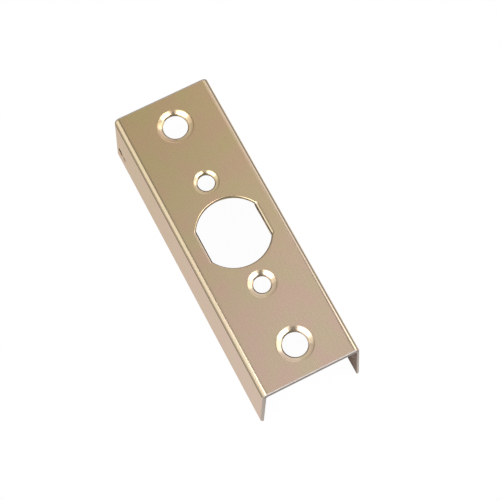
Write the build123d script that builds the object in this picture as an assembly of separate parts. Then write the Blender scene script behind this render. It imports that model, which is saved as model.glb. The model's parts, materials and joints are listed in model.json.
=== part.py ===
from build123d import *
import os
from math import cos, radians, sin, sqrt, tan

os.makedirs("parts", exist_ok=True)

# Door edge guard: one U of folded sheet that wraps the edge of a door around its latch.
# Frame: X across the door edge, Y along it, +Z out of the door. The origin is on the floor
# plane of the two free edges, under the middle of the front face. Millimetres.

# Sheet and folds
sheet = 1.2                     # thickness of the plated sheet
inner_bend_radius = 1.0         # inside radius of the two long folds
flange_splay = 2.5              # degrees that each flange springs open after folding

# Door edge that the channel takes
door_thickness = 34.9           # 1-3/8 in interior door
door_clearance = 0.5            # free space at each side of the door, at the folds
guard_length = 120.6            # along the door edge
flange_depth = 28.6             # front face to the floor plane of the free edges

# Dished screw seats
countersink_angle = 125.0       # full angle of the shallow cone
seat_rim_radius = 1.2           # roll between the flat face and the cone
seat_stand_out = 0.35           # how far each seat stands out under the sheet
fixing_seat_diameter = 13.6     # cone at the front face, fixing screws
fixing_hole_diameter = 9.3
fixing_end_margin = 12.7        # end of the guard to the nearest fixing hole
latch_seat_diameter = 10.2      # cone at the front face, latch plate screws
latch_hole_diameter = 6.4
latch_screw_spacing = 44.45     # between the two latch plate screws, 1-3/4 in

# Latch opening: a circle with a flat and a turned-in lip at each side
opening_diameter = 27.4
opening_flat_inset = 1.85       # circle to each flat, at the middle of the flat
lip_depth = 2.6                 # front face to the lip's edge
lip_bend_radius = 0.2           # inside radius of the lip's fold
lip_end_gap = 0.25              # each end of the lip stops short of the circle
lip_corner_radius = 0.7

# Rack hole and punch mark on the flange at -X, near the +Y end
rack_hole_diameter = 3.4
rack_hole_from_end = 3.7
rack_hole_from_free_edge = 7.6
punch_mark_diameter = 2.2
punch_mark_depth = 0.35
punch_mark_from_hole = 3.3      # centre to centre, along the flange

# Derived places
inner_width = door_thickness + 2 * door_clearance
front = flange_depth            # height of the front face above the free edges
splay = radians(flange_splay)
mouth_half_width = inner_width / 2 + (front - sheet) * tan(splay)
fixing_spacing = guard_length - 2 * fixing_end_margin
opening_radius = opening_diameter / 2
flat_offset = opening_radius - opening_flat_inset
lip_length = 2 * (sqrt(opening_radius**2 - flat_offset**2) - lip_end_gap)
same_place = 1e-6               # how near a corner must lie to be the one looked for


def folded_channel():
    """The bent sheet: the inside line of its U, given its thickness outwards, run along Y."""
    inside_corners = (
        (mouth_half_width, 0),
        (inner_width / 2, front - sheet),
        (-inner_width / 2, front - sheet),
        (-mouth_half_width, 0),
    )
    with BuildPart() as channel:
        with BuildSketch(Plane.XZ):
            with BuildLine():
                FilletPolyline(*inside_corners, radius=inner_bend_radius)
                offset(amount=sheet, side=Side.RIGHT)
            make_face()
        extrude(amount=guard_length / 2, both=True)
    return channel.part


def screw_seat(seat_diameter, hole_diameter):
    """A dished seat, pressed down from the sheet around its pierced hole.

    Returns the seat as a ring and the plain disc of sheet that it takes the place of.
    """
    half_angle = radians(countersink_angle / 2)
    seat_radius, hole_radius = seat_diameter / 2, hole_diameter / 2
    cone_depth = (seat_radius - hole_radius) / tan(half_angle)
    under = front - sheet
    bottom = under - seat_stand_out
    # the cone's underside runs one sheet thickness from its upper side
    under_rim = seat_radius + sheet / cos(half_angle) - sheet * tan(half_angle)
    under_foot = under_rim - seat_stand_out * tan(half_angle)
    blend_radius = under_rim + seat_rim_radius
    with BuildPart() as seat:
        with BuildSketch(Plane.XZ) as section:
            with BuildLine():
                Polyline(
                    (blend_radius, front),
                    (seat_radius, front),
                    (hole_radius, front - cone_depth),
                    (hole_radius, bottom),
                    (under_foot, bottom),
                    (under_rim, under),
                    (blend_radius, under),
                    close=True,
                )
            make_face()
            rims = section.vertices().filter_by(
                lambda v: min(abs(v.X - seat_radius), abs(v.X - under_rim)) < same_place
            )
            fillet(rims, seat_rim_radius)
        revolve(axis=Axis.Z)
    disc = Pos(0, 0, under) * Cylinder(
        blend_radius, sheet, align=(Align.CENTER, Align.CENTER, Align.MIN)
    )
    return seat.part, disc


def opening_lip():
    """The lip at the +X flat: a strip of sheet folded down into the opening.

    Returns the lip and the block of flat sheet that its fold takes the place of.
    """
    fold_radius = lip_bend_radius + sheet
    fold_line = flat_offset + fold_radius
    inner_face = flat_offset + sheet
    with BuildPart() as lip:
        with BuildSketch(Plane.XZ):
            with BuildLine():
                top = Line((fold_line, front), (fold_line, front - sheet))
                inner_fold = RadiusArc(top @ 1, (inner_face, front - fold_radius), -lip_bend_radius)
                inner_wall = Line(inner_fold @ 1, (inner_face, front - lip_depth))
                edge = Line(inner_wall @ 1, (flat_offset, front - lip_depth))
                outer_wall = Line(edge @ 1, (flat_offset, front - fold_radius))
                RadiusArc(outer_wall @ 1, top @ 0, fold_radius)
            make_face()
        extrude(amount=lip_length / 2, both=True)
        free_corners = lip.edges().filter_by(Axis.X).group_by(Axis.Z)[0]
        fillet(free_corners, lip_corner_radius)
    block = Pos(flat_offset, 0, front - sheet) * Box(
        fold_radius, lip_length, sheet, align=(Align.MIN, Align.CENTER, Align.MIN)
    )
    return lip.part, block


def flange_plane(y):
    """The outer face of the -X flange at a place along Y, its origin level with the rack hole.

    The plane's Z points into the sheet and its X points along the door edge.
    """
    inwards = Vector(cos(splay), 0, -sin(splay))
    upwards = Vector(sin(splay), 0, cos(splay))
    free_edge = Vector(-mouth_half_width, y, 0)
    origin = free_edge - inwards * sheet + upwards * rack_hole_from_free_edge
    return Plane(origin, x_dir=(0, 1, 0), z_dir=inwards)


def rack_hole(y):
    """The cutter for the hole that the sheet hangs from while it is plated."""
    return flange_plane(y) * Cylinder(
        rack_hole_diameter / 2, sheet, align=(Align.CENTER, Align.CENTER, Align.MIN)
    )


def punch_mark(y):
    """The cutter for the shallow punch mark in the flange's outer face."""
    return flange_plane(y) * Cone(
        punch_mark_diameter / 2, 0, punch_mark_depth, align=(Align.CENTER, Align.CENTER, Align.MIN)
    )


def edge_guard():
    """The whole guard: folded channel, screw seats, latch opening with lips, rack hole."""
    guard = folded_channel()

    # latch opening, a circle cut off by two flats
    circle = Pos(0, 0, front - sheet) * Cylinder(
        opening_radius, sheet, align=(Align.CENTER, Align.CENTER, Align.MIN)
    )
    between_flats = Pos(0, 0, front - sheet) * Box(
        2 * flat_offset, opening_diameter, sheet, align=(Align.CENTER, Align.CENTER, Align.MIN)
    )
    guard -= circle & between_flats
    lip, lip_block = opening_lip()
    for turn in (0, 180):
        guard -= Rot(0, 0, turn) * lip_block
        guard += Rot(0, 0, turn) * lip

    # dished screw seats, all on the centre line
    seats = (
        (fixing_spacing, fixing_seat_diameter, fixing_hole_diameter),
        (latch_screw_spacing, latch_seat_diameter, latch_hole_diameter),
    )
    for spacing, seat_diameter, hole_diameter in seats:
        seat, disc = screw_seat(seat_diameter, hole_diameter)
        for y in (-spacing / 2, spacing / 2):
            guard -= Pos(0, y, 0) * disc
            guard += Pos(0, y, 0) * seat

    # rack hole through the -X flange and the punch mark beside it
    hole_y = guard_length / 2 - rack_hole_from_end
    return guard - rack_hole(hole_y) - punch_mark(hole_y - punch_mark_from_hole)


guard = edge_guard()
assert len(guard.solids()) == 1, "the guard must be one folded sheet"
guard_solid = guard.solid()
guard_solid.label = "edge_guard"
export_step(guard_solid, "parts/edge_guard.step")
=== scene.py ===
"""Door edge guard: one folded and plated sheet, modelled from its flat blank, and its studio."""

import json
from math import cos, pi, radians, sin, tan

import bpy
import numpy as np
from mathutils import Matrix, Vector


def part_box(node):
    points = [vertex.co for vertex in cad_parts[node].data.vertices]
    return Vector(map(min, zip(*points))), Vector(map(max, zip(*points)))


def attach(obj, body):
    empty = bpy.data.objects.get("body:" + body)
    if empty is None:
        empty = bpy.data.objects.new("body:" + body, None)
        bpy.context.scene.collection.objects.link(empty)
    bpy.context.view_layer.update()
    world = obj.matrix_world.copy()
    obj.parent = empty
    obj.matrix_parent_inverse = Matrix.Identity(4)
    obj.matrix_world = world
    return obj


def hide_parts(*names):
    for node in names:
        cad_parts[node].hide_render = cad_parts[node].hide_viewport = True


bl_info = {
    "name": "Door Edge Guard",
    "version": (1, 0, 0),
    "blender": (4, 5, 0),
    "location": "3D View > Sidebar > Edge Guard",
    "description": "Folded sheet guard for the latch edge of a door, with its plating and its studio",
    "category": "Add Mesh",
}

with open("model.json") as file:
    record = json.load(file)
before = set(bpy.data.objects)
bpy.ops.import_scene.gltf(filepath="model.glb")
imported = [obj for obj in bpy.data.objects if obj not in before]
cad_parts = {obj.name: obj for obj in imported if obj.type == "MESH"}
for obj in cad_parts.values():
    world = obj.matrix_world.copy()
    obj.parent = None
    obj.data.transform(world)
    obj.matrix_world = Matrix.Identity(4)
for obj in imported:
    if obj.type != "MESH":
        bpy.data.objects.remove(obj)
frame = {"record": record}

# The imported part: its box, its screw holes and the guard's own node
NODE = "edge_guard"
LOWEST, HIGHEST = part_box(NODE)
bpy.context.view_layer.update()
MOUNTS = {mount["name"]: mount for mount in frame["record"]["mounts"]}
FIXING_HOLES = MOUNTS["fixing_holes"]["dims"]
LATCH_SCREW_HOLES = MOUNTS["latch_screw_holes"]["dims"]
MM = 0.001
SAME_PLACE = 1e-7               # points nearer to each other than this are one point

# Marks that the surface carries from its modelling to its plating, each from 0 to 1. The third is a dark
# reflection painted along the end of each bend, and the fourth is shade painted on the inner faces, holes
# and recesses.
MARKS = ("rubbed", "sheared", "painted_dark_line", "inside")
RUBBED, SHEARED, PAINTED_DARK_LINE, PAINTED_SHADE = range(len(MARKS))

# Colours of the lamps, as shares of plain white light
PLAIN, COOL, PALE_BLUE = (1, 1, 1), (1.04, 1.0, 1.18), (1.0, 1.0, 1.12)

# Soft boxes: name, bearing and height in degrees, distance, width and height of the panel, brightness,
# how far it is moved across and up in its own plane, and colour
LAMPS = (
    ("ceiling_left", 157, 70, 1.1, (0.415, 1.4), 0.53, (0.1825, 0), PLAIN),
    ("ceiling_right", 157, 70, 1.1, (0.365, 0.66), 0.98, (-0.2075, -0.37), COOL),
    ("ceiling_corner", 157, 70, 1.1, (0.165, 0.74), 1.12, (-0.1075, 0.33), COOL),
    ("left_window", -96, 22, 1.2, (1.5, 1.5), 1.15, (0, 0), PLAIN),
    ("front_window", -55, 14, 1.3, (1.6, 0.6), 0.7, (0, 0), PLAIN),
    ("left_ceiling", -75, 52, 1.15, (0.85, 0.6), 5.0, (0, 0), PALE_BLUE),
    ("right_ceiling", 40, 53, 1.15, (0.75, 0.6), 5.0, (0, 0), PALE_BLUE),
    ("side_panel", 131, 29, 1.3, (1.36, 0.82), 0.94, (0, 0), COOL),
    ("right_panel", 79, 26, 1.2, (1.0, 0.75), 2.4, (0, 0), PLAIN),
    ("back_panel", 196, 24, 1.3, (1.85, 0.7), 0.75, (0, 0), PLAIN),
)


def length_property(name, description, default):
    """A size that a user may change, in metres."""
    return bpy.props.FloatProperty(
        name=name,
        description=description,
        default=default,
        min=0,
        precision=5,
        subtype="DISTANCE",
        unit="LENGTH",
    )


def angle_property(name, description, degrees):
    """An angle that a user may change, kept in radians."""
    return bpy.props.FloatProperty(
        name=name,
        description=description,
        default=radians(degrees),
        precision=2,
        subtype="ANGLE",
        unit="ROTATION",
    )


def colour_property(name, description, default):
    """A linear colour that a user may change."""
    return bpy.props.FloatVectorProperty(
        name=name, description=description, default=default, size=3, min=0, max=1, subtype="COLOR"
    )


def amount_property(name, description, default, highest=1.0):
    """A plain number without a unit that a user may change."""
    return bpy.props.FloatProperty(
        name=name, description=description, default=default, min=0, max=highest
    )


class SheetSizes(bpy.types.PropertyGroup):
    """Sizes of the folded sheet and of what is pressed and cut in it."""

    thickness: length_property("Sheet", "Thickness of the plated sheet", 0.0012)
    bend_radius: length_property("Bend radius", "Inside radius of the two long folds", 0.001)
    splay: angle_property("Splay", "How far each flange springs open", 2.5)
    cone_angle: angle_property("Countersink", "Full angle of the screw seats", 125.0)
    fixing_seat_radius: length_property("Fixing seat", "Cone radius at the face, fixing screws", 0.0068)
    far_latch_seat_radius: length_property("Far latch seat", "Cone radius at the face, +Y screw", 0.0048)
    near_latch_seat_radius: length_property("Near latch seat", "Cone radius at the face, -Y screw", 0.0054)
    seat_roll: length_property("Seat roll", "Radius between the flat face and the cone", 0.0012)
    seat_edge: length_property("Seat edge", "Rounding of the cone's edge at the screw hole", 0.00014)
    seat_turn: length_property("Seat turn", "Band of the cone that turns down into the hole", 0.0005)
    seat_turn_slope: angle_property("Seat turn slope", "Fall of that band under the front face", 42.0)
    seat_stand_out: length_property("Seat stand-out", "How far seats stand out under the sheet", 0.00035)
    opening_radius: length_property("Opening", "Radius of the latch opening", 0.0137)
    opening_flat: length_property("Opening flat", "Centre of the opening to each flat", 0.01185)
    lip_depth: length_property("Lip depth", "Front face to the lip's edge", 0.0026)
    lip_bend_radius: length_property("Lip bend", "Inside radius of the lip's fold", 0.0002)
    lip_end: length_property("Lip end", "Length over which each end of a lip runs out", 0.0008)
    opening_roll: length_property("Opening roll", "Rounding of the latch opening's two arcs", 0.0007)
    die_roll: length_property("Die roll", "Rounding of a lip's edge where the punch went in", 0.0003)
    end_roll: length_property("End roll", "Rounding of the blank's cut edge on the outer face", 0.0008)
    burr_round: length_property("Burr side", "Rounding where a punch came out", 0.00008)
    # Half width and place of the dark reflection painted along the end of each bend
    painted_dark_line_width: length_property("Die line", "Half width of the dark line by each bend", 0.00065)
    painted_dark_line_offset: length_property("Die line place", "End of each bend to its line's middle", 0.00005)
    rack_hole_radius: length_property("Rack hole", "Radius of the hole in the left flange", 0.0017)
    rack_hole_from_end: length_property("Rack hole from end", "End of the guard to the hole", 0.0037)
    rack_hole_from_edge: length_property("Rack hole from edge", "Free edge to the hole", 0.0076)
    punch_mark_radius: length_property("Punch mark", "Radius of the mark beside the hole", 0.0011)
    punch_mark_depth: length_property("Punch mark depth", "How deep the punch mark is", 0.00035)
    punch_mark_from_hole: length_property("Punch mark place", "Rack hole to mark, centres", 0.0033)
    cell: length_property("Cell", "Side of a mesh cell beside the holes", 0.00065)


class PlatedFinish(bpy.types.PropertyGroup):
    """Colours and grain of the satin brass plating."""

    far_brass: colour_property("Brass, far end", "Plating at the rack hole's end", (0.445, 0.335, 0.185))
    near_brass: colour_property("Brass, near end", "Paler plating, other end", (0.50, 0.39, 0.28))
    olive: colour_property("Olive tint", "Multiplies the plating where it is greener", (0.95, 1.0, 0.89))
    rose: colour_property("Rose tint", "Multiplies the plating where it is redder", (1.0, 0.945, 0.96))
    edge_tint: colour_property("Edge tint", "Reflection at a low angle", (1.0, 0.89, 0.84))
    # Painted dark reflection: the colour of the dark line along the end of each bend
    painted_dark_line: colour_property("Die line", "Where a forming tool rubbed the sheet", (0.12, 0.09, 0.05))
    rubbed: colour_property("Rubbed brass", "Bends and rims, polished by handling", (0.66, 0.56, 0.40))
    sheared: colour_property("Sheared edge", "Dull cut edges under thin plating", (0.42, 0.385, 0.34))
    # Painted shade: the dark brown painted on the inner faces, the holes, the recesses and the opening's
    # near arc, where the channel lies in shade
    inside: colour_property("Inside", "Dull brown plating on the door's side", (0.21, 0.155, 0.105))
    rub_cover: amount_property("Rub cover", "How much of a rubbed place is polished", 0.6)
    roughness: amount_property("Roughness", "Of the plated faces", 0.27)
    bend_roughness: amount_property("Bend roughness", "Of the rubbed bends and rims", 0.16)
    painted_dark_line_scuff: amount_property("Die line scuff", "Roughness added on the die lines", 0.5)
    sheared_scuff: amount_property("Sheared scuff", "Roughness added on the sheared edges", 0.25)
    painted_shade_scuff: amount_property("Inside scuff", "Roughness added on the inside", 0.2)
    grain_pitch: length_property("Grain pitch", "Across the polishing lines", 0.00022)
    grain_depth: length_property("Grain depth", "Height of the polishing lines", 0.00001)
    tint_patch: length_property("Tint patch", "Size of the patches of tint", 0.009)


class StudioStage(bpy.types.PropertyGroup):
    """Camera, floor and room."""

    azimuth: angle_property("Azimuth", "Camera heading, 0 looks along the door edge", -25.07)
    elevation: angle_property("Elevation", "Camera height above the horizon", 68.89)
    roll: angle_property("Roll", "Camera turned clockwise about its line of sight", 2.29)
    distance: length_property("Distance", "Camera to the point that it looks at", 0.645)
    lens: amount_property("Lens", "Focal length in millimetres on a 36 mm sensor", 128.7, 500)
    aim_across: length_property("Aim across", "Middle of the front to the aim point, across", 0.0024)
    aim_along: length_property("Aim along", "Middle of the front to the aim point, to -Y", 0.0081)
    aim_below: length_property("Aim below", "Aim point below the front face", 0.0024)
    floor_colour: colour_property("Floor", "Pale floor", (0.86, 0.86, 0.86))
    floor_across: length_property("Floor across", "Half width of the floor board", 0.085)
    floor_along: length_property("Floor along", "Half length of the floor board", 0.095)
    # Radius of the pool of light painted on the floor under the latch opening, seen in reflections
    painted_light_radius: length_property("Opening light", "Radius of the patch lit through the opening", 0.014)
    surround: amount_property("Surround", "Brightness of the room behind the lamps", 0.3, 10)


class Sheet:
    """The guard's sizes in metres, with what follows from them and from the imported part."""

    def __init__(self, sizes):
        self.sizes = sizes
        self.thick = sizes.thickness
        self.half_length = HIGHEST.y
        self.front = HIGHEST.z
        self.bend = pi / 2 - sizes.splay
        self.inner = sizes.bend_radius
        outer_face = HIGHEST.x - self.thick * cos(sizes.splay)
        fold_corner = outer_face - (self.front - self.thick) * tan(sizes.splay)
        tangent = self.inner * tan(self.bend / 2)
        self.flat_half = fold_corner - tangent
        self.bend_run = (self.inner + self.thick / 2) * self.bend
        self.flange = (self.front - self.thick) / cos(sizes.splay) - tangent
        self.half_width = self.flat_half + self.bend_run + self.flange

    def fold(self, blank):
        """Carries points of the flat blank into the folded guard.

        A point is its place across the blank, its place along the door edge and its level, which is 0 on
        the outer face and negative within the sheet. Up to the half width of the front it stays where it
        is. Over the bend the place across becomes an angle about the bend's centre, and past the bend it
        becomes a run down the flange, which leaves the bend along its tangent.
        """
        across, along, level = blank.T
        reach = np.abs(across)
        angle = np.clip((reach - self.flat_half) / self.bend_run * self.bend, 0, self.bend)
        run = np.maximum(reach - self.flat_half - self.bend_run, 0)
        radius = self.inner + self.thick + level
        x = np.minimum(reach, self.flat_half) + radius * np.sin(angle) + run * cos(self.bend)
        z = self.front - self.thick - self.inner + radius * np.cos(angle) - run * sin(self.bend)
        return np.column_stack((np.copysign(x, across), along, z))


class Patchwork:
    """Blocks of surface, in blank places, that are merged where they meet."""

    def __init__(self):
        self.points, self.marks, self.faces = [], [], []
        self.count = 0

    def add(self, points, marks, faces):
        """Keeps a block: its points, a row of marks for each point, and its faces."""
        self.points.append(points)
        self.marks.append(marks)
        self.faces.append(faces + self.count)
        self.count += len(points)

    def panel(self, across, along, level, windows, upwards, rubbed=0, painted_dark_line=0, inside=0):
        """One face of the blank: a grid of places across and along, at one level, less its windows.

        A mark is one value, or one for each place across.
        """
        rows, columns = len(across), len(along)
        grid = np.empty((rows, columns, 3))
        grid[..., 0], grid[..., 1], grid[..., 2] = across[:, None], along[None, :], level
        marks = np.zeros((rows, columns, len(MARKS)))
        for place, mark in ((RUBBED, rubbed), (PAINTED_DARK_LINE, painted_dark_line), (PAINTED_SHADE, inside)):
            marks[..., place] = np.reshape(mark, (-1, 1))
        corner = np.arange(rows * columns).reshape(rows, columns)
        quads = np.stack((corner[:-1, :-1], corner[1:, :-1], corner[1:, 1:], corner[:-1, 1:]), -1)
        across_mid, along_mid = (across[1:] + across[:-1]) / 2, (along[1:] + along[:-1]) / 2
        cut = np.zeros((rows - 1, columns - 1), bool)
        for centre, half_across, half_along in windows:
            in_across = np.abs(across_mid - centre[0]) < half_across
            in_along = np.abs(along_mid - centre[1]) < half_along
            cut |= in_across[:, None] & in_along[None, :]
        quads = quads[~cut]
        marks = marks.reshape(-1, len(MARKS))
        self.add(grid.reshape(-1, 3), marks, quads if upwards else quads[:, ::-1])

    def loft(self, rings, rubbed=0, sheared=0, inside=0, inwards=True, pole=None):
        """Closed rings joined one to the next, and the last one to a pole where there is one.

        A mark is one value, or one for each ring, or one for each point of each ring.
        """
        rows, columns = rings.shape[:2]
        marks = np.zeros((rows, columns, len(MARKS)))
        for place, mark in ((RUBBED, rubbed), (SHEARED, sheared), (PAINTED_SHADE, inside)):
            marks[..., place] = mark if np.ndim(mark) == 2 else np.reshape(mark, (-1, 1))
        here = np.arange(rows * columns).reshape(rows, columns)
        after = np.roll(here, -1, axis=1)
        quads = np.stack((here[:-1], after[:-1], after[1:], here[1:]), -1).reshape(-1, 4)
        points = rings.reshape(-1, 3)
        self.add(points, marks.reshape(-1, len(MARKS)), quads if inwards else quads[:, ::-1])
        if pole is not None:
            rim = np.arange(columns)
            fan = np.stack((rim, np.roll(rim, -1), np.full(columns, columns)), -1)
            self.add(
                np.concatenate((rings[-1], [pole])), np.concatenate((marks[-1], marks[-1, :1])), fan
            )

    def mesh(self, name, fold):
        """The merged blocks as a mesh, carried through a fold."""
        points, marks = np.concatenate(self.points), np.concatenate(self.marks)
        _, first, new_index = np.unique(
            np.round(points / SAME_PLACE), axis=0, return_index=True, return_inverse=True
        )
        new_index = new_index.ravel()
        quads = np.concatenate([faces for faces in self.faces if faces.shape[1] == 4])
        triangles = np.concatenate([faces for faces in self.faces if faces.shape[1] == 3])
        corners = np.concatenate((new_index[quads].ravel(), new_index[triangles].ravel()))
        sides = np.concatenate((np.full(len(quads), 4), np.full(len(triangles), 3)))
        mesh = bpy.data.meshes.new(name)
        mesh.vertices.add(len(first))
        mesh.vertices.foreach_set("co", fold(points[first]).ravel())
        mesh.loops.add(len(corners))
        mesh.loops.foreach_set("vertex_index", corners)
        mesh.polygons.add(len(sides))
        mesh.polygons.foreach_set("loop_start", np.concatenate(([0], np.cumsum(sides)[:-1])))
        mesh.update(calc_edges=True)
        mesh.shade_smooth()
        for column, mark in enumerate(MARKS):
            attribute = mesh.attributes.new(mark, "FLOAT", "POINT")
            attribute.data.foreach_set("value", marks[first, column])
        return mesh


def spaced(stops, step):
    """Places from the first stop to the last, at every stop and about a step apart between them."""
    spans = zip(stops[:-1], stops[1:])
    runs = [np.linspace(a, b, max(1, round((b - a) / step)), endpoint=False) for a, b in spans]
    return np.append(np.concatenate(runs), stops[-1])


def rounded_line(corners, cuts, steps, support=0.05 * MM):
    """A section line whose corners are turned on arcs.

    Each arc starts and ends its cut away from the corner. Its points are the rational curve
    ((1-t)^2 start + 2 t (1-t) w corner + t^2 end) / ((1-t)^2 + 2 t (1-t) w + t^2), where w is the cosine
    of half the turn, which makes it a true arc. A support point stands just outside each end.
    """
    corners = np.asarray(corners, float)
    runs = np.diff(corners, axis=0)
    ways = runs / np.linalg.norm(runs, axis=1)[:, None]
    way_in, way_out, middle = ways[:-1], ways[1:], corners[1:-1]
    cuts = np.asarray(cuts, float)[:, None]
    start, end = middle - cuts * way_in, middle + cuts * way_out
    turn_cosine = np.clip((way_in * way_out).sum(1), -1, 1)
    t = np.linspace(0, 1, steps + 1)[None, :, None]
    w = np.sqrt((1 + turn_cosine) / 2)[:, None, None]
    above = (1 - t) ** 2 * start[:, None] + 2 * t * (1 - t) * w * middle[:, None] + t**2 * end[:, None]
    arcs = above / ((1 - t) ** 2 + 2 * t * (1 - t) * w + t**2)
    before = (start - support * way_in)[:, None]
    after = (end + support * way_out)[:, None]
    line = np.concatenate((before, arcs, after), axis=1).reshape(-1, 2)
    return np.concatenate((corners[:1], line, corners[-1:]))


def outline(across, along):
    """Once round a rectangle of grid places, seen from outside the sheet, from its lowest corner."""
    low, far = np.full(len(across) - 1, along[0]), np.full(len(across) - 1, along[-1])
    left, right = np.full(len(along) - 1, across[0]), np.full(len(along) - 1, across[-1])
    return np.concatenate((
        np.column_stack((across[:-1], low)),
        np.column_stack((right, along[:-1])),
        np.column_stack((across[:0:-1], far)),
        np.column_stack((left, along[:0:-1])),
    ))


def places_within(places, centre, half):
    """The grid places of one window, its two ends included."""
    return places[np.abs(places - centre) < half + SAME_PLACE]


def at_level(places, level):
    """Places across and along with their level added as a third column."""
    level = np.broadcast_to(level, places.shape[:-1])
    return np.concatenate((places, level[..., None]), axis=-1)


def window_rings(loop, first, last, thick):
    """Rings from a window's outline half way to a hole's first ring, and from its last ring back."""
    down = at_level(np.stack((loop, (loop + first) / 2)), 0)
    back = at_level(np.stack(((loop + last) / 2, loop)), -thick)
    return down, back


def unit_circle(loop, centre):
    """Steps of one unit from a centre towards every point of a window's outline.

    Rings on these bearings share their points with the grid round the window.
    """
    bearing = np.arctan2(loop[:, 1] - centre[1], loop[:, 0] - centre[0])
    return np.column_stack((np.cos(bearing), np.sin(bearing)))


def round_hole(work, loop, centre, line, rubbed, inside, thick):
    """A round hole in a window: its section, radius and level, turned about the hole's centre."""
    circle = unit_circle(loop, centre)
    rings = at_level(centre + line[:, 0, None, None] * circle, line[:, 1, None])
    down, back = window_rings(loop, rings[0, :, :2], rings[-1, :, :2], thick)
    flat = np.zeros(2)
    work.loft(
        np.concatenate((down, rings, back)),
        rubbed=np.concatenate((flat, rubbed, flat)),
        # painted shade on the hole's section as given, and on the rings back to the inner face
        inside=np.concatenate((flat, inside, flat + 1)),
    )


def seat_section(sheet, seat_radius, hole_radius):
    """Section of a dished screw seat, from the flat face down its cone and back along the underside.

    Beside the hole a narrow band falls more steeply than the cone, as the punch drew it down. The cone is
    rubbed below a plain share of its fall, and all that lies past its edge gets painted shade, like the
    inner face.
    """
    sizes, thick = sheet.sizes, sheet.thick
    half = sizes.cone_angle / 2
    turn_radius = hole_radius + sizes.seat_turn
    turn_level = (turn_radius - seat_radius) / tan(half)
    bottom = -thick - sizes.seat_stand_out
    under_rim = seat_radius + thick / cos(half) - thick * tan(half)
    foot = under_rim - sizes.seat_stand_out * tan(half)
    reach_past_roll = 2
    roll_cut = sizes.seat_roll * tan((pi / 2 - half) / 2)
    reach = under_rim + reach_past_roll * roll_cut
    corners = (
        (reach, 0),
        (seat_radius, 0),
        (turn_radius, turn_level),
        (hole_radius, turn_level - sizes.seat_turn * tan(sizes.seat_turn_slope)),
        (hole_radius, bottom),
        (foot, bottom),
        (under_rim, -thick),
        (reach, -thick),
    )
    turn_cut, foot_cut = 0.12 * MM, 0.15 * MM
    cone_rub, plain_share, edge_share = 0.8, 0.3, 0.6
    cuts = (roll_cut, turn_cut, sizes.seat_edge, sizes.burr_round / 2, foot_cut, roll_cut)
    line = rounded_line(corners, cuts, steps=6, support=0.01 * MM)
    radius, level = line.T
    past_edge = np.cumsum(radius < hole_radius + edge_share * sizes.seat_edge) > 0
    on_cone = (level < plain_share * turn_level) & (radius > turn_radius) & ~past_edge
    return line, cone_rub * on_cone, past_edge.astype(float)


def opening_outline(sheet, loop):
    """The latch opening's edge, a circle cut off by two flats, with its normal and its share of lip.

    The edge has as many points as the window's outline. They are spread round it so that one falls on
    each of the four corners and some lie close together where a lip ends. The share is 0 on the arcs
    and 1 on the flats, and rises over the lip's end as a quarter of a circle does. The normal is radial
    on the arcs and square to the flats.
    """
    sizes, count = sheet.sizes, len(loop)
    corner = np.arccos(sizes.opening_flat / sizes.opening_radius)
    half_chord = sizes.opening_flat * tan(corner)
    close_run = 1.5 * sizes.lip_end
    close_points = 7
    close_bearing = np.arctan((half_chord - close_run) / sizes.opening_flat)
    bearing = np.unwrap(np.arctan2(loop[:, 1], loop[:, 0]))
    knots = []
    for middle in (0, pi):
        for side in (-1, 1):
            at_corner = int(np.argmin(np.abs(bearing - (middle + side * corner))))
            inner_knot = (at_corner - side * close_points, middle + side * close_bearing)
            knots += [inner_knot, (at_corner, middle + side * corner)][::side]
    index, angle = np.transpose(knots)
    index = np.concatenate((index - count, index, index + count))
    angle = np.concatenate((angle - 2 * pi, angle, angle + 2 * pi))
    bearing = np.interp(np.arange(count), index, angle)

    radial = np.column_stack((np.cos(bearing), np.sin(bearing)))
    smallest = 1e-9
    flat_reach = sizes.opening_flat / np.maximum(np.abs(radial[:, 0]), smallest)
    edge = radial * np.minimum(sizes.opening_radius, flat_reach)[:, None]
    inwards = np.clip((half_chord - np.abs(edge[:, 1])) / sizes.lip_end, 0, 1)
    share = np.sqrt(1 - (1 - inwards) ** 2)
    square = np.column_stack((np.sign(radial[:, 0]), np.zeros(count)))
    normal = radial + share[:, None] * (square - radial)
    normal /= np.linalg.norm(normal, axis=1)[:, None]
    return edge, normal, share


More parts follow.
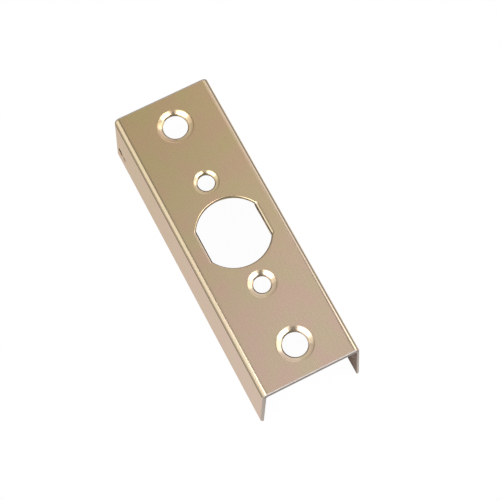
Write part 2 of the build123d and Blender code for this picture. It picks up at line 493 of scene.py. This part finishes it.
def latch_opening(work, sheet, loop):
    """The latch opening, whose sheet turns in as a lip at each flat.

    A ring is the plain cut edge's section and the lip's section mixed by the share of lip, and measured out
    from the opening's edge along its normal. Both sections have as many corners, so the plain one has two
    more on its underside. The lip is rubbed on its fold. The plain edge has a dark reflection painted dark
    brown down its roll on the side towards the near end, and past its wall the underside gets painted
    shade.
    """
    sizes, thick = sheet.sizes, sheet.thick
    edge, normal, share = opening_outline(sheet, loop)
    count, steps = len(loop), 6
    burr, fold, flat_rim = sizes.burr_round, sizes.lip_bend_radius, 0.1 * MM
    plain_reach, lip_reach = sizes.opening_roll + flat_rim, thick + fold + flat_rim
    first_under, second_under = 0.4 * MM, 0.7 * MM
    plain_corners = (
        (plain_reach, 0),
        (0, 0),
        (0, -thick),
        (first_under, -thick),
        (second_under, -thick),
        (plain_reach, -thick),
    )
    lip_corners = (
        (lip_reach, 0),
        (0, 0),
        (0, -sizes.lip_depth),
        (thick, -sizes.lip_depth),
        (thick, -thick),
        (lip_reach, -thick),
    )
    plain = rounded_line(plain_corners, (sizes.opening_roll, burr, burr, burr), steps)
    lip = rounded_line(lip_corners, (thick + fold, sizes.die_roll, burr, fold), steps)
    section = plain[:, None] + share[None, :, None] * (lip - plain)[:, None]
    rings = at_level(edge + section[..., :1] * normal, section[..., 1])
    down, back = window_rings(loop, rings[0, :, :2], rings[-1, :, :2], thick)

    # the rings of the first arc follow the ring at full reach and a support ring
    arc_start, arc_end = 2, 3 + steps
    t = np.linspace(0, 1, steps + 1)
    arc_rub, lip_rub, wall_shear = 0.05, 0.95, 0.3
    rubbed = np.zeros((len(plain), count))
    rubbed[arc_start:arc_end] = (4 * t * (1 - t))[:, None] * (arc_rub + (lip_rub - arc_rub) * share)
    on_wall = (plain[:, 0] < 0.03 * MM) & (plain[:, 1] > -thick)
    # painted shade on the underside past the cut wall
    inside = np.zeros((len(plain), count))
    inside[(np.cumsum(on_wall) == on_wall.sum()) & ~on_wall] = 1

    # painted dark reflection, dark brown, on the arcs' roll: none at the far end, half level with the
    # middle, all of it near the -Y end
    middle_painted_dark, painted_dark_gain = 0.5, 1.2
    near_side = np.clip(middle_painted_dark - painted_dark_gain * edge[:, 1] / sizes.opening_radius, 0, 1) * (1 - share)
    painted_dark_steps = np.array([0.2, 0.7, 1, 1, 1, 1])
    inside[arc_start + 1:arc_end] = painted_dark_steps[:, None] * near_side
    flat = np.zeros((2, count))
    work.loft(
        np.concatenate((down, rings, back)),
        rubbed=np.concatenate((flat, rubbed, flat)),
        sheared=np.concatenate((flat[:, 0], wall_shear * on_wall, flat[:, 0])),
        inside=np.concatenate((flat, inside, flat + 1)),
    )


def rack_hole(work, sheet, loop, centre):
    """The plain round hole through the left flange, with shade painted dark brown a little way below its
    rim.
    """
    radius, thick, burr = sheet.sizes.rack_hole_radius, sheet.thick, sheet.sizes.burr_round
    reach = radius + 0.3 * MM
    line = rounded_line(((reach, 0), (radius, 0), (radius, -thick), (reach, -thick)), (burr, burr), steps=4)
    below = (line[:, 1] < -0.1 * thick).astype(float)
    round_hole(work, loop, centre, line, np.zeros(len(line)), below, thick)


def punch_mark(work, sizes, loop, centre):
    """The punch mark: rings that sink to a pole as they shrink, with shade painted dark brown in them."""
    radius = sizes.punch_mark_radius * np.array([1, 0.94, 0.85, 0.5, 0.2])
    level = -sizes.punch_mark_depth * np.array([0, 0.03, 0.13, 0.5, 0.85])
    rings = at_level(centre + radius[:, None, None] * unit_circle(loop, centre), level[:, None])
    rings = np.concatenate((at_level(loop, 0)[None], rings))
    painted_dark_steps = np.array([0, 0.9, 1, 1, 1, 1])
    work.loft(rings, inside=painted_dark_steps, pole=np.append(centre, -sizes.punch_mark_depth))


def sheared_edge(work, sheet, loop, margin):
    """The blank's sheared edge, rolled on the outer face: rings that step in from its full size.

    The grid ends a margin before the blank does, so its outline first moves out by that margin.
    """
    sizes, thick = sheet.sizes, sheet.thick
    reach = np.array([sheet.half_width, sheet.half_length])
    on_side = np.abs(loop) > reach - margin - SAME_PLACE
    loop = loop + on_side * np.sign(loop) * margin
    corners = ((margin, 0), (0, 0), (0, -thick), (margin, -thick))
    line = rounded_line(corners, (sizes.end_roll, sizes.burr_round), steps=8)
    inset, level = line[:, 0, None, None], line[:, 1]
    rings = at_level(np.clip(loop, inset - reach, reach - inset), level[:, None])
    fade = 0.3 * sizes.end_roll
    cut = np.clip((sizes.end_roll - line[:, 0]) / fade, 0, 1) * (level > -thick)
    under = (level <= -thick).astype(float)
    # the underside of the cut edge gets painted shade
    work.loft(rings, sheared=cut, inside=under, inwards=False)


def guard_mesh(sizes):
    """The whole guard, built in the flat and folded.

    Two panels, the outer and the inner face, share one grid. Windows are left out of them for the
    opening, the screw seats, the rack hole and the punch mark, and each window is filled by rings that
    start from its outline. A last loft goes round the blank's sheared edge.
    """
    sheet = Sheet(sizes)
    thick = sheet.thick
    latch_y, fixing_y = LATCH_SCREW_HOLES["spacing_y_mm"] * MM / 2, FIXING_HOLES["spacing_y_mm"] * MM / 2
    latch_radius, fixing_radius = LATCH_SCREW_HOLES["hole_r_mm"] * MM, FIXING_HOLES["hole_r_mm"] * MM
    rack_x = -(sheet.half_width - sizes.rack_hole_from_edge)
    rack_y = sheet.half_length - sizes.rack_hole_from_end
    mark_y = rack_y - sizes.punch_mark_from_hole

    # half sizes of the windows, of which the opening's ends where the latch seats' begin
    latch_half, fixing_half, rack_half, mark_half = 7.2 * MM, 9.0 * MM, 2.1 * MM, 1.2 * MM
    opening_across, opening_along = 15.0 * MM, latch_y - latch_half

    # places across the blank, finer in the bends, on the painted dark lines and round the rack hole
    margin = sizes.end_roll + 0.3 * MM
    edge_across, edge_along = sheet.half_width - margin, sheet.half_length - margin
    bend_start, bend_end = sheet.flat_half, sheet.flat_half + sheet.bend_run
    line_end = bend_end + 0.9 * MM
    front_end = bend_start - 0.12 * MM
    bend_cells, line_cell, flange_cell, rack_cell = 16, 0.12 * MM, 2.2 * MM, 0.3 * MM
    rack_stops = sorted(abs(rack_x) + offset for offset in (-rack_half, -mark_half, mark_half, rack_half))
    half_across = np.concatenate((
        spaced((0, latch_half, fixing_half, opening_across, front_end, bend_start), sizes.cell),
        np.linspace(bend_start, bend_end, bend_cells + 1)[1:],
        spaced((bend_end, line_end), line_cell)[1:],
        spaced((line_end, rack_stops[0]), flange_cell)[1:],
        spaced(rack_stops, rack_cell)[1:],
        spaced((rack_stops[-1], edge_across), flange_cell)[1:],
    ))
    along_stops = (
        0,
        opening_along,
        latch_y + latch_half,
        fixing_y - fixing_half,
        mark_y - mark_half,
        mark_y + mark_half,
        fixing_y + fixing_half,
        rack_y + rack_half,
        edge_along,
    )
    half_along = spaced(along_stops, sizes.cell)
    across = np.concatenate((-half_across[:0:-1], half_across))
    along = np.concatenate((-half_along[:0:-1], half_along))

    # bends are rubbed most half way round, and each ends in a painted dark line, a dark reflection painted
    # into the colour
    bend_rub = np.sin(pi * np.clip((np.abs(across) - bend_start) / sheet.bend_run, 0, 1))
    from_line = (np.abs(across) - bend_end - sizes.painted_dark_line_offset) / sizes.painted_dark_line_width
    painted_dark_line = np.clip(1 - from_line**2, 0, 1)

    opening = (np.zeros(2), opening_across, opening_along)
    latch_seats = [(np.array([0, side * latch_y]), latch_half, latch_half) for side in (-1, 1)]
    fixing_seats = [(np.array([0, side * fixing_y]), fixing_half, fixing_half) for side in (-1, 1)]
    rack = (np.array([rack_x, rack_y]), rack_half, rack_half)
    mark = (np.array([rack_x, mark_y]), mark_half, mark_half)
    through = [opening, *latch_seats, *fixing_seats, rack]
    work = Patchwork()
    work.panel(across, along, 0, through + [mark], upwards=True, rubbed=bend_rub, painted_dark_line=painted_dark_line)
    # the inner face is painted dark brown all over as shade
    work.panel(across, along, -thick, through, upwards=False, inside=1)

    def loop_of(window):
        """The outline of a window, from the grid's own places."""
        centre, half_a, half_b = window
        return outline(places_within(across, centre[0], half_a), places_within(along, centre[1], half_b))

    latch_opening(work, sheet, loop_of(opening))
    near_latch = seat_section(sheet, sizes.near_latch_seat_radius, latch_radius)
    far_latch = seat_section(sheet, sizes.far_latch_seat_radius, latch_radius)
    fixing = seat_section(sheet, sizes.fixing_seat_radius, fixing_radius)
    for seat, section in zip(latch_seats + fixing_seats, (near_latch, far_latch, fixing, fixing)):
        round_hole(work, loop_of(seat), seat[0], *section, thick)
    rack_hole(work, sheet, loop_of(rack), rack[0])
    punch_mark(work, sizes, loop_of(mark), mark[0])
    sheared_edge(work, sheet, outline(across, along), margin)
    return work.mesh("guard_sheet", sheet.fold)


def feed(tree, socket, value):
    """Gives a socket a plain value, or links another node's output to it."""
    if isinstance(value, bpy.types.NodeSocket):
        tree.links.new(value, socket)
    else:
        socket.default_value = value


def new_node(tree, kind, **values):
    """A shader node with its properties set, and its input sockets fed by name."""
    node = tree.nodes.new(kind)
    for key, value in values.items():
        if key in node.inputs:
            feed(tree, node.inputs[key], value)
        else:
            setattr(node, key, value)
    return node


def reckon(tree, operation, *values):
    """The result of a Math node, from plain numbers and other nodes' outputs."""
    node = new_node(tree, "ShaderNodeMath", operation=operation)
    for socket, value in zip(node.inputs, values):
        feed(tree, socket, value)
    return node.outputs["Value"]


def carry(tree, value, span, result, interpolation="LINEAR"):
    """A value carried from one span of numbers to another, and kept within it."""
    node = new_node(tree, "ShaderNodeMapRange", interpolation_type=interpolation, Value=value)
    for name, number in zip(("From Min", "From Max", "To Min", "To Max"), (*span, *result)):
        node.inputs[name].default_value = number
    return node.outputs["Result"]


def noise(tree, place, size, detail, roughness):
    """Noise from 0 to 1, in patches of about a size."""
    node = new_node(
        tree, "ShaderNodeTexNoise", Vector=place, Scale=1 / size, Detail=detail, Roughness=roughness
    )
    return node.outputs["Fac"]


def mix_colours(tree, share, first, second, blend="MIX"):
    """Two colours mixed by a share. The Mix node's colours are its inputs 6 and 7 and its output 2."""
    node = new_node(tree, "ShaderNodeMix", data_type="RGBA", blend_type=blend, Factor=share)
    feed(tree, node.inputs[6], first)
    feed(tree, node.inputs[7], second)
    return node.outputs[2]


def mix_shaders(tree, share, first, second):
    """Two shaders mixed by a share."""
    node = tree.nodes.new("ShaderNodeMixShader")
    for socket, value in zip(node.inputs, (share, first, second)):
        feed(tree, socket, value)
    return node.outputs["Shader"]


def plated_brass(finish):
    """Satin brass plating.

    Polishing lines run along the door edge and move the roughness and a fine bump. Patches of two tints
    drift over the faces. Bends, cones and lips are rubbed brighter and smoother, and sheared edges are
    dull. A dark reflection is painted along the end of each bend as a dull dark line, and shade is painted
    dark brown and dull on the inner faces, in the holes and recesses and on the near side of the opening's
    arcs.
    """
    material = bpy.data.materials.new("plated_brass")
    material.use_nodes = True
    tree = material.node_tree
    shader = tree.nodes["Principled BSDF"]
    shader.inputs["Metallic"].default_value = 1.0
    shader.inputs["Specular Tint"].default_value = (*finish.edge_tint, 1)
    place = tree.nodes.new("ShaderNodeTexCoord").outputs["Object"]
    attributes = [new_node(tree, "ShaderNodeAttribute", attribute_name=mark) for mark in MARKS]
    rubbed, sheared, painted_dark_line, inside = (attribute.outputs["Fac"] for attribute in attributes)

    # polishing lines: noise drawn out fifty times along the door edge
    drawn_out = new_node(tree, "ShaderNodeMapping", Vector=place, Scale=(1, 0.02, 1))
    grain = noise(tree, drawn_out.outputs["Vector"], finish.grain_pitch, detail=3.0, roughness=0.6)

    # patches of tint
    patches = noise(tree, place, finish.tint_patch, detail=2.0, roughness=0.55)
    tint = new_node(tree, "ShaderNodeValToRGB", Fac=patches)
    stops = tint.color_ramp.elements
    stops[0].position, stops[0].color = 0.36, (*finish.olive, 1)
    stops[1].position, stops[1].color = 0.64, (*finish.rose, 1)

    # colour: the plating, paler towards the near end, what wear and shearing did to it, and the painted
    # dark reflection by the bends and the painted shade
    apart = new_node(tree, "ShaderNodeSeparateXYZ", Vector=place)
    nearness = carry(tree, apart.outputs["Y"], (HIGHEST.y, LOWEST.y), (0, 1), "SMOOTHSTEP")
    colour = mix_colours(tree, nearness, (*finish.far_brass, 1), (*finish.near_brass, 1))
    colour = mix_colours(tree, 1.0, colour, tint.outputs["Color"], "MULTIPLY")
    polished = reckon(tree, "MULTIPLY", rubbed, finish.rub_cover)
    colour = mix_colours(tree, polished, colour, (*finish.rubbed, 1))
    # paint the dark reflection by each bend, the sheared edges' grey and the dark brown painted shade
    for mark, paint in ((painted_dark_line, finish.painted_dark_line), (sheared, finish.sheared), (inside, finish.inside)):
        colour = mix_colours(tree, mark, colour, (*paint, 1))
    feed(tree, shader.inputs["Base Color"], colour)

    # roughness: the grain's, and what each mark adds to it
    smoothest, roughest = finish.roughness - 0.02, finish.roughness + 0.03
    roughness = carry(tree, grain, (0.3, 0.7), (smoothest, roughest))
    added = (
        (rubbed, finish.bend_roughness - finish.roughness),
        (painted_dark_line, finish.painted_dark_line_scuff),
        (sheared, finish.sheared_scuff),
        (inside, finish.painted_shade_scuff),
    )
    for mark, amount in added:
        roughness = reckon(tree, "MULTIPLY_ADD", mark, amount, roughness)
    feed(tree, shader.inputs["Roughness"], roughness)

    bump = new_node(tree, "ShaderNodeBump", Strength=0.2, Distance=finish.grain_depth, Height=grain)
    feed(tree, shader.inputs["Normal"], bump.outputs["Normal"])
    return material


def floor_material(stage):
    """Pale floor that looks white to the camera and keeps the guard's shadow, and is clear from below.

    Reflections see it white too, apart from the part in the guard's channel, where little light comes but
    through the latch opening; there they see the floor as lit, with a round pool of light painted under the
    opening.
    """
    material = bpy.data.materials.new("pale_floor")
    material.use_nodes = True
    tree = material.node_tree
    tree.nodes.remove(tree.nodes["Principled BSDF"])
    place = tree.nodes.new("ShaderNodeTexCoord").outputs["Object"]
    seen = tree.nodes.new("ShaderNodeLightPath").outputs
    below = tree.nodes.new("ShaderNodeNewGeometry").outputs["Backfacing"]

    reach = new_node(tree, "ShaderNodeVectorMath", operation="ABSOLUTE", Vector=place)
    apart = new_node(tree, "ShaderNodeSeparateXYZ", Vector=reach.outputs["Vector"])
    past_side = reckon(tree, "SUBTRACT", apart.outputs["X"], HIGHEST.x)
    past_end = reckon(tree, "SUBTRACT", apart.outputs["Y"], HIGHEST.y)
    outside = reckon(tree, "GREATER_THAN", reckon(tree, "MAXIMUM", past_side, past_end), 0)
    from_middle = new_node(tree, "ShaderNodeVectorMath", operation="LENGTH", Vector=place)
    # a round pool of light painted on the floor under the latch opening, as seen in reflections
    painted_light_patch = reckon(tree, "LESS_THAN", from_middle.outputs["Value"], stage.painted_light_radius)
    open_floor_and_painted_light = reckon(tree, "MAXIMUM", outside, painted_light_patch)
    mirrored = reckon(tree, "MAXIMUM", seen["Is Glossy Ray"], seen["Is Transmission Ray"])
    shown = reckon(tree, "MAXIMUM", seen["Is Camera Ray"], reckon(tree, "MULTIPLY", mirrored, open_floor_and_painted_light))

    whiteness = 0.97
    matt = new_node(tree, "ShaderNodeBsdfDiffuse", Color=(*stage.floor_colour, 1)).outputs["BSDF"]
    glow = new_node(tree, "ShaderNodeEmission", Strength=1.0).outputs["Emission"]
    clear = tree.nodes.new("ShaderNodeBsdfTransparent").outputs["BSDF"]
    top = mix_shaders(tree, reckon(tree, "MULTIPLY", shown, whiteness), matt, glow)
    surface = mix_shaders(tree, below, top, clear)
    feed(tree, tree.nodes["Material Output"].inputs["Surface"], surface)
    return material


def add_floor(stage):
    """A flat board just under the guard's free edges."""
    gap = 0.1 * MM
    corners = np.array([(-1, -1), (1, -1), (1, 1), (-1, 1)]) * [stage.floor_across, stage.floor_along]
    mesh = bpy.data.meshes.new("floor")
    mesh.from_pydata(at_level(corners, LOWEST.z - gap).tolist(), [], [(0, 1, 2, 3)])
    mesh.materials.append(floor_material(stage))
    floor = bpy.data.objects.new("floor", mesh)
    bpy.context.scene.collection.objects.link(floor)


def add_panel_lamp(name, azimuth, elevation, distance, size, brightness, moved, colour):
    """A soft box that faces the guard, at a bearing and a height above the horizon in degrees.

    A bearing of 0 is towards the guard's -Y end, and one of 90 is towards +X. The panel is moved in its
    own plane, by a length across it and a length up it.
    """
    around, up = radians(azimuth), radians(elevation)
    back = Vector((sin(around) * cos(up), -cos(around) * cos(up), sin(up)))
    lamp = bpy.data.lights.new(name, "AREA")
    lamp.shape = "RECTANGLE"
    lamp.size, lamp.size_y = size
    lamp.energy = brightness * pi * size[0] * size[1]
    lamp.color = colour
    holder = bpy.data.objects.new(name, lamp)
    turn = back.to_track_quat("Z", "Y")
    holder.location = back * distance + turn @ Vector((*moved, 0))
    holder.rotation_mode = "QUATERNION"
    holder.rotation_quaternion = turn
    holder.visible_camera = False
    bpy.context.scene.collection.objects.link(holder)


def add_camera(stage):
    """The camera: its aim point is given from the middle of the front face."""
    aim = Vector((stage.aim_across, -stage.aim_along, HIGHEST.z - stage.aim_below))
    turn = Matrix.Rotation(stage.azimuth, 3, "Z") @ Matrix.Rotation(pi / 2 - stage.elevation, 3, "X")
    turn = turn @ Matrix.Rotation(-stage.roll, 3, "Z")
    data = bpy.data.cameras.new("camera")
    data.lens = stage.lens
    data.sensor_width = 36
    data.clip_start, data.clip_end = 0.01, 20
    camera = bpy.data.objects.new("camera", data)
    camera.matrix_world = Matrix.Translation(aim + turn @ Vector((0, 0, stage.distance))) @ turn.to_4x4()
    bpy.context.scene.collection.objects.link(camera)
    bpy.context.scene.camera = camera


def add_world(stage):
    """A plain room around the guard, white to the camera."""
    world = bpy.data.worlds.new("studio")
    world.use_nodes = True
    tree = world.node_tree
    background = tree.nodes["Background"]
    seen = tree.nodes.new("ShaderNodeLightPath").outputs["Is Camera Ray"]
    feed(tree, background.inputs["Strength"], carry(tree, seen, (0, 1), (stage.surround, 1.0)))
    background.inputs["Color"].default_value = (1, 1, 1, 1)
    bpy.context.scene.world = world


class EDGE_GUARD_OT_sheet(bpy.types.Operator):
    """Build the folded sheet with its screw seats, latch opening and plating"""

    bl_idname = "edge_guard.sheet"
    bl_label = "Build Folded Sheet"
    bl_options = {"REGISTER", "UNDO"}

    def execute(self, context):
        mesh = guard_mesh(context.scene.guard_sizes)
        mesh.materials.append(plated_brass(context.scene.guard_finish))
        guard = bpy.data.objects.new("guard_sheet", mesh)
        context.scene.collection.objects.link(guard)
        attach(guard, "root")
        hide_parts(NODE)
        return {"FINISHED"}


class EDGE_GUARD_OT_stage(bpy.types.Operator):
    """Set up the floor, the room, the lamps and the camera"""

    bl_idname = "edge_guard.stage"
    bl_label = "Set Up Studio"
    bl_options = {"REGISTER", "UNDO"}

    def execute(self, context):
        stage = context.scene.guard_stage
        add_floor(stage)
        add_world(stage)
        for lamp in LAMPS:
            add_panel_lamp(*lamp)
        add_camera(stage)
        context.scene.view_settings.view_transform = "Standard"
        return {"FINISHED"}


class EDGE_GUARD_PT_panel(bpy.types.Panel):
    """Sidebar panel with the guard's operators and its sizes, colours and stage"""

    bl_idname = "EDGE_GUARD_PT_panel"
    bl_label = "Edge Guard"
    bl_space_type = "VIEW_3D"
    bl_region_type = "UI"
    bl_category = "Edge Guard"

    def draw(self, context):
        layout = self.layout
        layout.operator(EDGE_GUARD_OT_sheet.bl_idname)
        layout.operator(EDGE_GUARD_OT_stage.bl_idname)
        scene = context.scene
        for group in (scene.guard_sizes, scene.guard_finish, scene.guard_stage):
            box = layout.box()
            for name in group.__annotations__:
                box.prop(group, name)


CLASSES = (
    SheetSizes,
    PlatedFinish,
    StudioStage,
    EDGE_GUARD_OT_sheet,
    EDGE_GUARD_OT_stage,
    EDGE_GUARD_PT_panel,
)


def register():
    """Adds the classes, and the three groups of values to the scene."""
    for cls in CLASSES:
        bpy.utils.register_class(cls)
    bpy.types.Scene.guard_sizes = bpy.props.PointerProperty(type=SheetSizes)
    bpy.types.Scene.guard_finish = bpy.props.PointerProperty(type=PlatedFinish)
    bpy.types.Scene.guard_stage = bpy.props.PointerProperty(type=StudioStage)


def unregister():
    """Takes away what register added."""
    del bpy.types.Scene.guard_sizes, bpy.types.Scene.guard_finish, bpy.types.Scene.guard_stage
    for cls in reversed(CLASSES):
        bpy.utils.unregister_class(cls)


def main():
    """Builds the guard and its studio."""
    register()
    bpy.ops.edge_guard.sheet()
    bpy.ops.edge_guard.stage()


if __name__ == "__main__":
    main()
